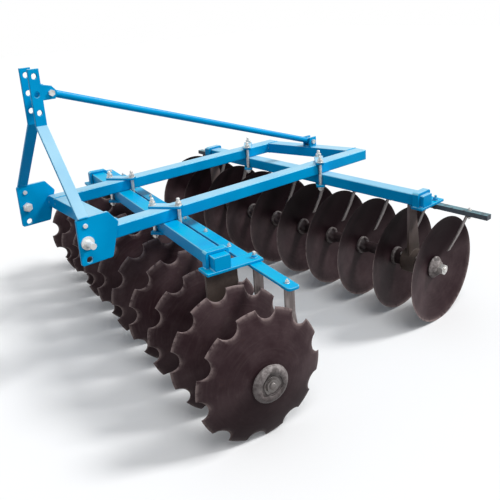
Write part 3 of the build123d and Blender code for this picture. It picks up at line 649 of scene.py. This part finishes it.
def wide_casting(u, side):
    """The casting on the domed side of the end disc, a dome of revolution hollowed for the nut. Its face
    rises and falls by a cosine of five times the angle, three notches cut its hollow by the eighth power of
    a cosine, and a slow cosine of twice the angle pulls its rim out of round."""
    wave, notch_deep, out_of_round, round_from, sides = 0.0014, 0.006, 0.0006, 0.06, 96
    x, r, face, notch = (column[:, None] for column in WIDE_CASTING.T)
    a = angles(sides)[None, :]
    along = x + wave * face * np.cos(5 * a + 0.6)
    radii = r + notch_deep * notch * np.abs(np.cos(1.5 * a + 0.5)) ** 8
    radii = radii - out_of_round * (1 + np.cos(2 * a)) * (r > round_from)
    return turned((u, 0, DISC_R), (side, 0, 0), along, radii, sides, loop=True)


def cone_casting(u, side):
    """The casting on the hollow side: a bell from a broad foot to a neck under the nut, with four ribs."""
    rib_high, sides = 0.0022, 56
    x, r, rib = CONE_CASTING.T
    radii = r[:, None] + rib_high * rib[:, None] * np.abs(np.cos(2 * angles(sides)))[None, :] ** 6
    return turned((u, 0, DISC_R), (side, 0, 0), x, radii, sides, loop=True)


def lock_plate(u, side):
    """The plate under the sunk nut: a low disc whose edge turns up where three tabs are bent, by the twelfth
    power of a cosine."""
    tab_lift, tab_reach, sides = 0.0045, 0.0035, 48
    x, r, lift, reach = (column[:, None] for column in LOCK_PLATE.T)
    tab = np.abs(np.cos(1.5 * angles(sides) + 0.2))[None, :] ** 12
    along, radii = x + tab_lift * tab * lift, r + tab_reach * tab * reach
    return turned((u, 0, DISC_R), (side, 0, 0), along, radii, sides)


def shaft_bar(u0, u1):
    """The square bar between the nuts, set on its flat by an eighth of a turn, its ends drawn in."""
    corner_r, end_r, end_l = AXLE_SIDE / math.sqrt(2), 0.94 * AXLE_SIDE / math.sqrt(2), 0.002
    along = [0, end_l, u1 - u0 - end_l, u1 - u0]
    points, quads, ends = turned((u0, 0, 0), (1, 0, 0), along, [end_r, corner_r, corner_r, end_r], 4)
    eighth = np.array(Matrix.Rotation(math.radians(45), 3, "X"))
    return points @ eighth.T + (0, 0, DISC_R), quads, ends


def gang_discs(gang, body):
    turns = [NOTCH_TURN + 180 / NOTCHES * ((DISC_COUNT - 1 - k) % 2) for k in range(DISC_COUNT)]
    discs, worn, streaks = zip(*(worked_disc(gang, u, turn) for u, turn in zip(DISC_PLACES, turns)))
    piece(gang + "_discs_worked", discs, "disc_steel", body, [gang + "_discs"],
          {"rim": np.concatenate(worn), "ring": np.concatenate(streaks)}, sharp=30)


def gang_spools(gang, body):
    """The spools, pale on their rims and a little just below them: rubbed wear, with a painted highlight."""
    spools = [ribbed_spool(gang, u, k in GANGS[gang]["bearings"]) for k, u in enumerate(SPOOL_PLACES)]
    rim_pale, below_pale = 0.75, 0.25
    # Partly rubbed wear, partly painted highlight on the spools' rims.
    rubbed_and_lit = [rim_pale] * 4 + [below_pale] + [0.0] * 7
    pale = np.tile(np.repeat(rubbed_and_lit + rubbed_and_lit[::-1], SPOOL_SIDES), len(spools))
    piece(gang + "_spools_cast", shapes_on_gang(gang, spools), "cast_iron", body, [gang + "_spools"],
          {"pale": pale})


def casting_paleness(casting, wide):
    """The cone casting is pale all over, and the wide one pale with painted top light, paler towards its top.
    """
    if not wide:
        return np.ones(len(casting[0]))
    middle_pale, casting_top_light = 0.52, 0.36
    # Painted top light: the wide casting grows paler towards its top.
    return middle_pale + casting_top_light * (casting[0][:, 2] - DISC_R) / WIDE_CASTING_R


def gang_ends(gang, body):
    """The end castings, the shaft's nuts and threads, dull at the wide casting, and the bar between them."""
    castings, nuts, threads = [], [], []
    paleness, dull_nuts, dull_threads, seats = [], [], [], []
    nut_short, plate_sunk = 0.002, 0.0005
    for side in (-1, 1):
        face = side * (DISC_PLACES[-1] + DISC_T / 2)
        wide = side == -GANGS[gang]["hollow"]
        castings.append((wide_casting if wide else cone_casting)(face, side))
        paleness.append(casting_paleness(castings[-1], wide))
        seats.append(face + side * (WIDE_SEAT if wide else CONE_SEAT))
        start, axis = (seats[-1], 0, DISC_R), (side, 0, 0)
        nut_l = WIDE_NUT_T if wide else CONE_NUT_T
        end_nuts = [lock_plate(seats[-1] - side * plate_sunk, side)] if wide else []
        end_nuts.append(nut(start, axis, nut_l - nut_short, END_NUT_R))
        nuts += end_nuts
        dull_nuts += [np.full(len(shape[0]), float(wide)) for shape in end_nuts]
        threads.append(thread(start, axis, nut_l + AXLE_STUB, AXLE_END_R))
        dull_threads.append(np.full(len(threads[-1][0]), float(wide)))
    piece(gang + "_castings", shapes_on_gang(gang, castings), "cast_iron", body, [gang + "_end_caps"],
          {"pale": np.concatenate(paleness)})
    piece(gang + "_shaft_nuts", shapes_on_gang(gang, nuts), "bare_steel", body, [gang + "_end_nuts"],
          {"dull": np.concatenate(dull_nuts)})
    piece(gang + "_shaft_ends", shapes_on_gang(gang, threads), "bare_steel", body,
          marks={"dull": np.concatenate(dull_threads)})
    piece(gang + "_shaft_bar", shapes_on_gang(gang, [shaft_bar(*seats)]), "disc_steel", body,
          [gang + "_axle"])


for gang in GANGS:
    gang_discs(gang, gang + "_gang")
    gang_spools(gang, gang + "_gang")
    gang_ends(gang, gang + "_gang")


# Clamp screws where the long beams cross the gang beams

CLAMP_NUT_R, UPPER_NUT_T, LOWER_NUT_T = 0.016, 0.014, 0.013
CLAMP_WASHER_T, CLAMP_WASHER_R = 0.003, 0.0185
SHANK_DOWN, SHANK_UP, SHANK_SHY = 0.024, 0.020, 0.0002
THREAD_FROM, THREAD_L = 0.016, 0.0198


def clamp_places(gang):
    """Two bolts at each crossing of a long beam and a gang beam, on opposite corners, clear of both."""
    g = GANGS[gang]
    way = 1 if gang == "front" else -1
    a = math.radians(g["angle"])
    clear = CLAMP_BOLT_R + CLAMP_BOLT_GAP
    dx = TUBE_W / 2 + clear
    dy = (GANG_TUBE_W / 2 + clear + way * dx * math.sin(a)) / math.cos(a)
    out = []
    for x in (-BEAM_X, BEAM_X):
        y = g["y"] + (x - g["x"]) * math.tan(a) + g["beam_w"] / math.cos(a)
        out += [(x - dx, y - way * dy), (x + dx, y + way * dy)]
    return out


def clamp_screw(x, y):
    """A long bolt through both clamp plates, with a washer and a nut at either end."""
    top, bottom = on_hitch((x, y, FRAME_TOP + CLAMP_T)), on_hitch((x, y, GANG_BOTTOM - CLAMP_T))
    length = top[2] - bottom[2] + SHANK_DOWN + SHANK_UP
    shank = bar(bottom + SHANK_DOWN * DOWN, UP, length, CLAMP_BOLT_R - SHANK_SHY)
    end = thread(top + THREAD_FROM * UP, UP, THREAD_L, CLAMP_BOLT_R)
    flat = (washer, CLAMP_WASHER_T, CLAMP_WASHER_R)
    upper = stack(top, UP, flat, (nut, UPPER_NUT_T, CLAMP_NUT_R))
    return [shank, end] + upper + stack(bottom, DOWN, flat, (nut, LOWER_NUT_T, CLAMP_NUT_R))


for gang in GANGS:
    screws = [shape for x, y in clamp_places(gang) for shape in clamp_screw(x, y)]
    piece(gang + "_clamp_screws", screws, "bare_steel", "frame", [gang + "_clamp_bolts"])


# Bolts of the scrapers, brackets and housings

# One row per painted bolt that holds a scraper bar to its bracket: gang, u, w.
BAR_BOLTS = [
    ("front", 0.688, 0.174), ("front", -0.896, 0.170), ("rear", 1.006, 0.056), ("rear", -0.742, 0.056)]
BAR_WASHER_T, BAR_WASHER_R, BAR_NUT_T, LOWER_BAR_NUT_T, BAR_NUT_R = 0.0025, 0.015, 0.011, 0.010, 0.0125
FRONT_BAR_END, REAR_BAR_END = (0.014, 0.0075), (0.013, 0.007)

# Scrapers under or beside a bracket, where the photograph shows only the bracket's painted bolt: gang and
# number.
UNDER_BRACKET = {("front", 1), ("front", 8), ("rear", 8)}
SCRAPER_BOLT_OUT, BLADE_T, SMALL_NUT_T, SMALL_NUT_R, SMALL_BOLT_R = 0.014, 0.006, 0.008, 0.009, 0.005
SMALL_WASHER_T, SMALL_WASHER_R, UPPER_END_L, LOWER_END_L = 0.002, 0.010, 0.0065, 0.005

HOUSING_BOLT_OUT, HOUSING_HEAD_T, HOUSING_HEAD_R = 0.053, 0.009, 0.011
FRONT_BAR_W, FRONT_BAR_OUT, FRONT_BAR_CORNER_R = 0.056, (0.145, -0.035), 0.014


def scraper_bolts(gang):
    """A bolt through the scraper bar and each blade's head, but for the blades at a bracket."""
    g = GANGS[gang]
    under = BRACKET_BOTTOM - g["bar_thick"] - BLADE_T
    small_nut = (nut, SMALL_NUT_T, SMALL_NUT_R)
    out = []
    for k, place in enumerate(DISC_PLACES):
        if (gang, k) in UNDER_BRACKET:
            continue
        u = place + g["hollow"] * (g["blade_head"] + SCRAPER_BOLT_OUT)
        out += stack((u, g["bar_w"], BRACKET_BOTTOM), UP, (washer, SMALL_WASHER_T, SMALL_WASHER_R), small_nut,
                     (thread, UPPER_END_L, SMALL_BOLT_R))
        out += stack((u, g["bar_w"], under), DOWN, small_nut, (thread, LOWER_END_L, SMALL_BOLT_R))
    return out


def housing_bolts(gang):
    """Four bolt heads on each face of both bearing housings."""
    out = []
    for end in GANGS[gang]["bearings"]:
        for a in np.radians((45, 135, 225, 315)):
            w, z = HOUSING_BOLT_OUT * math.cos(a), DISC_R + HOUSING_BOLT_OUT * math.sin(a)
            for face in (-1, 1):
                start = (SPOOL_PLACES[end] + face * HOUSING_L / 2, w, z)
                out.append(nut(start, (face, 0, 0), HOUSING_HEAD_T, HOUSING_HEAD_R))
    return out


def bar_bolt_nuts(gang):
    """The washers and nuts on both sides of a gang's scraper bar and brackets."""
    out = []
    under = BRACKET_BOTTOM - GANGS[gang]["bar_thick"]
    for u, w in [row[1:] for row in BAR_BOLTS if row[0] == gang]:
        out += stack((u, w, GANG_BOTTOM), UP, (washer, BAR_WASHER_T, BAR_WASHER_R),
                     (nut, BAR_NUT_T, BAR_NUT_R))
        out.append(nut((u, w, under), DOWN, LOWER_BAR_NUT_T, BAR_NUT_R))
    return out


def bar_bolt_ends(gang, length, radius):
    """The threads that stand over those nuts."""
    above = GANG_BOTTOM + BAR_WASHER_T + BAR_NUT_T
    return [thread((u, w, above), UP, length, radius) for name, u, w in BAR_BOLTS if name == gang]


def front_bar():
    """The front scraper bar, from past the first disc to short of the last."""
    w, low = GANGS["front"]["bar_w"], BRACKET_BOTTOM - GANGS["front"]["bar_thick"]
    return flat_bar(DISC_PLACES[0] - FRONT_BAR_OUT[0], DISC_PLACES[-1] + FRONT_BAR_OUT[1],
                    w - FRONT_BAR_W / 2, w + FRONT_BAR_W / 2, low, BRACKET_BOTTOM, FRONT_BAR_CORNER_R)


painted = []
for gang in GANGS:
    bolts = scraper_bolts(gang) + housing_bolts(gang)
    painted += shapes_on_gang(gang, bar_bolt_nuts(gang))
    if gang == "front":
        bolts += bar_bolt_ends(gang, *FRONT_BAR_END)
    else:
        painted += shapes_on_gang(gang, bar_bolt_ends(gang, *REAR_BAR_END))
    piece(gang + "_small_bolts", shapes_on_gang(gang, bolts), "bare_steel", "frame")
piece("bar_bolts_painted", painted, "blue_paint", "frame")
piece("front_bar_flat", shapes_on_gang("front", [front_bar()]), "blue_paint", "frame", ["front_scraper_bar"])


# Upper pins of the hitch plates

UPPER_PIN_UP, UPPER_PIN_R, UPPER_PIN_PAST = 0.044, 0.0105, 0.006

pins = []
for side in (-1, 1):
    start = on_hitch((side * (HALF_WIDTH - UPPER_PIN_PAST), HITCH_HOLE_Y, FRAME_TOP + UPPER_PIN_UP))
    pins.append(bar(start, (side, 0, 0), HITCH_PLATE_T + 2 * UPPER_PIN_PAST, UPPER_PIN_R))
piece("hitch_plate_pins", pins, "bare_steel", "frame")


# Welds. Each bead is the two ends of its line.

# y of a hitch plate's slanting rear edge at the top and bottom of its bead
PLATE_EDGE_Y, PLATE_BEAD_IN = (-0.1385, -0.1555), 0.004
# x and y of the beads beside a mast bar's foot
MAST_FOOT_X, MAST_FOOT_Y = (0.3445, 0.3575), (-0.314, -0.269)
STAY_FORWARD, STAY_FOOT_X, STAY_FOOT_HALF = 0.008, 0.030, 0.026
HANGER_BEAD_IN, STRAP_BEAD_HALF, TUBE_BEAD_UP = 0.003, 0.015, 0.001


def frame_beads():
    """The beads of the cross beams, hitch plates, mast bars and stay, laid out from the hitch."""
    slope = (LEFT_BEAM_END_Y - RIGHT_BEAM_END_Y) / (2 * INNER_X)
    half = TUBE_W / 2 * math.sqrt(1 + slope ** 2)
    rear_line = (LEFT_BEAM_END_Y + RIGHT_BEAM_END_Y) / 2 - half
    beads = []
    for side in (-1, 1):
        x, rear = side * INNER_X, rear_line + slope * side * INNER_X
        for y0, y1 in ((FRAME_FRONT_Y, FRAME_FRONT_Y + TUBE_W), (rear - half, rear + half)):
            beads += [((x, y0, z), (x, y1, z)) for z in (FRAME_TOP, TUBE_BOTTOM)]
            beads += [((x, y, TUBE_BOTTOM), (x, y, FRAME_TOP)) for y in (y0, y1)]
        x, high, low = side * HALF_WIDTH, FRAME_TOP - PLATE_BEAD_IN, TUBE_BOTTOM + PLATE_BEAD_IN
        beads += [((x, y0, high), (x, y1, low)) for y0, y1 in (PLATE_EDGE_Y, (FRAME_FRONT_Y, FRAME_FRONT_Y))]
        z = FRAME_TOP + HITCH_UP
        beads += [((side * x, MAST_FOOT_Y[0], z), (side * x, MAST_FOOT_Y[1], z)) for x in MAST_FOOT_X]
        x, y = side * STAY_FOOT_X, rear_line - STAY_FORWARD
        beads.append(((x, y - STAY_FOOT_HALF, FRAME_TOP), (x, y + STAY_FOOT_HALF, FRAME_TOP)))
    return beads


def gang_beads(gang):
    """The beads under the brackets, beside the hangers, and those on them, outside the straps and along the
    gang beam's lower edges, as (u, w, z)."""
    g, beads = GANGS[gang], []
    w0, w1 = g["hanger"][0] + HANGER_BEAD_IN, g["hanger"][1] - HANGER_BEAD_IN
    for end, side in enumerate((-1, 1)):
        bearing = SPOOL_PLACES[g["bearings"][end]]
        strap, beam_end = (bearing + side * g[key][end] for key in ("strap_out", "beam_out"))
        for k in (-1, 1):
            u = bearing + k * HANGER_T / 2
            beads.append(((u, w0, BRACKET_BOTTOM), (u, w1, BRACKET_BOTTOM)))
            w, z = g["beam_w"] + k * (GANG_TUBE_W / 2 + STRAP_GAP + STRAP_T), GANG_BOTTOM
            beads.append(((strap - STRAP_BEAD_HALF, w, z), (strap + STRAP_BEAD_HALF, w, z)))
            w, z = g["beam_w"] + k * GANG_TUBE_W / 2, GANG_BOTTOM + TUBE_BEAD_UP
            beads.append(((min(beam_end, strap), w, z), (max(beam_end, strap), w, z)))
    return beads


welds = [weld(on_hitch(start), on_hitch(end)) for start, end in frame_beads()]
for gang in GANGS:
    welds += [weld(on_gang(gang, start), on_gang(gang, end)) for start, end in gang_beads(gang)]
piece("weld_beads", welds, "blue_paint", "frame")


# Floor and sky

FLOOR_SIZE, FLOOR_TONE, FLOOR_BOUNCE = 40, (0.88, 0.88, 0.88), (0.28, 0.28, 0.28)
SKY_TONE, SKY_STRENGTH = (0.93, 0.96, 1.0), 0.42
WHITE = (1.0, 1.0, 1.0)


def floor_finish():
    """A pale floor that takes shadows and sends little light back up. Reflections show it white."""
    n = finish_nodes("pale_floor")
    ray = n.add("LightPath").node.outputs
    tone = n.mix(ray["Is Diffuse Ray"], FLOOR_TONE, FLOOR_BOUNCE)
    mirrored = n.more(ray["Is Glossy Ray"], ray["Is Transmission Ray"])
    pale = n.add("BsdfPrincipled", Base_Color=tone, Roughness=0.9)
    white = n.add("Emission", Color=WHITE, Strength=1.0)
    return n.output(n.add("MixShader", i0=mirrored, i1=pale, i2=white))


def sky():
    """White to the camera and in reflections, and a soft cool light on everything."""
    n = Nodes(bpy.data.worlds.new("sky"))
    ray = n.add("LightPath").node.outputs
    seen = n.more(n.more(ray["Is Camera Ray"], ray["Is Glossy Ray"]), ray["Is Transmission Ray"])
    soft = n.add("Background", Color=SKY_TONE, Strength=SKY_STRENGTH)
    white = n.add("Background", Color=WHITE, Strength=1.0)
    return n.output(n.add("MixShader", i0=seen, i1=soft, i2=white), "World")


bpy.ops.mesh.primitive_plane_add(size=FLOOR_SIZE, location=(0, 0, 0))
floor = bpy.context.object
floor.name = "floor"
floor.data.materials.append(floor_finish())
bpy.context.scene.world = sky()


# Lamps and camera

def direction(azimuth, height):
    """Towards an azimuth, 0 on the tractor's side and 90 on the left, and a height, in degrees."""
    a, e = math.radians(azimuth), math.radians(height)
    return Vector((math.sin(a) * math.cos(e), -math.cos(a) * math.cos(e), math.sin(e)))


def sun(name, strength, angle, azimuth, height):
    """A soft sun that shines from an azimuth and a height."""
    lamp = bpy.data.lights.new(name, "SUN")
    lamp.energy, lamp.angle = strength, math.radians(angle)
    holder = bpy.data.objects.new(name, lamp)
    bpy.context.scene.collection.objects.link(holder)
    holder.rotation_euler = direction(azimuth, height).to_track_quat("Z", "Y").to_euler()


sun("key", strength=2.2, angle=14, azimuth=145, height=43)
sun("fill", strength=1.0, angle=30, azimuth=70, height=65)

# The photograph's camera: its place, laid out from the hitch, its angles in degrees, and its focal length and
# middle in pixels
CAMERA_PLACE = (2.71522, -1.26435, 1.68631)
YAW, PITCH, ROLL, FOCAL, MID_X, MID_Y = 51.36, 17.26, -3.52, 614.33, 249.9, 184.76
PHOTO_SIDE, SENSOR_W = 500, 36

back, right = direction(YAW, PITCH), direction(YAW + 90, 0)
up, roll = back.cross(right), math.radians(ROLL)
axes = (math.cos(roll) * right + math.sin(roll) * up, math.cos(roll) * up - math.sin(roll) * right, back)
camera = bpy.data.cameras.new("camera")
camera.lens, camera.sensor_width = FOCAL * SENSOR_W / PHOTO_SIDE, SENSOR_W
camera.shift_x, camera.shift_y = 0.5 - MID_X / PHOTO_SIDE, MID_Y / PHOTO_SIDE - 0.5
eye = bpy.data.objects.new("camera", camera)
bpy.context.scene.collection.objects.link(eye)
spot = Matrix.Translation(Vector(on_hitch(CAMERA_PLACE)))
eye.matrix_world = spot @ Matrix(axes).transposed().to_4x4()
bpy.context.scene.camera = eye
bpy.context.scene.view_settings.view_transform = "Standard"
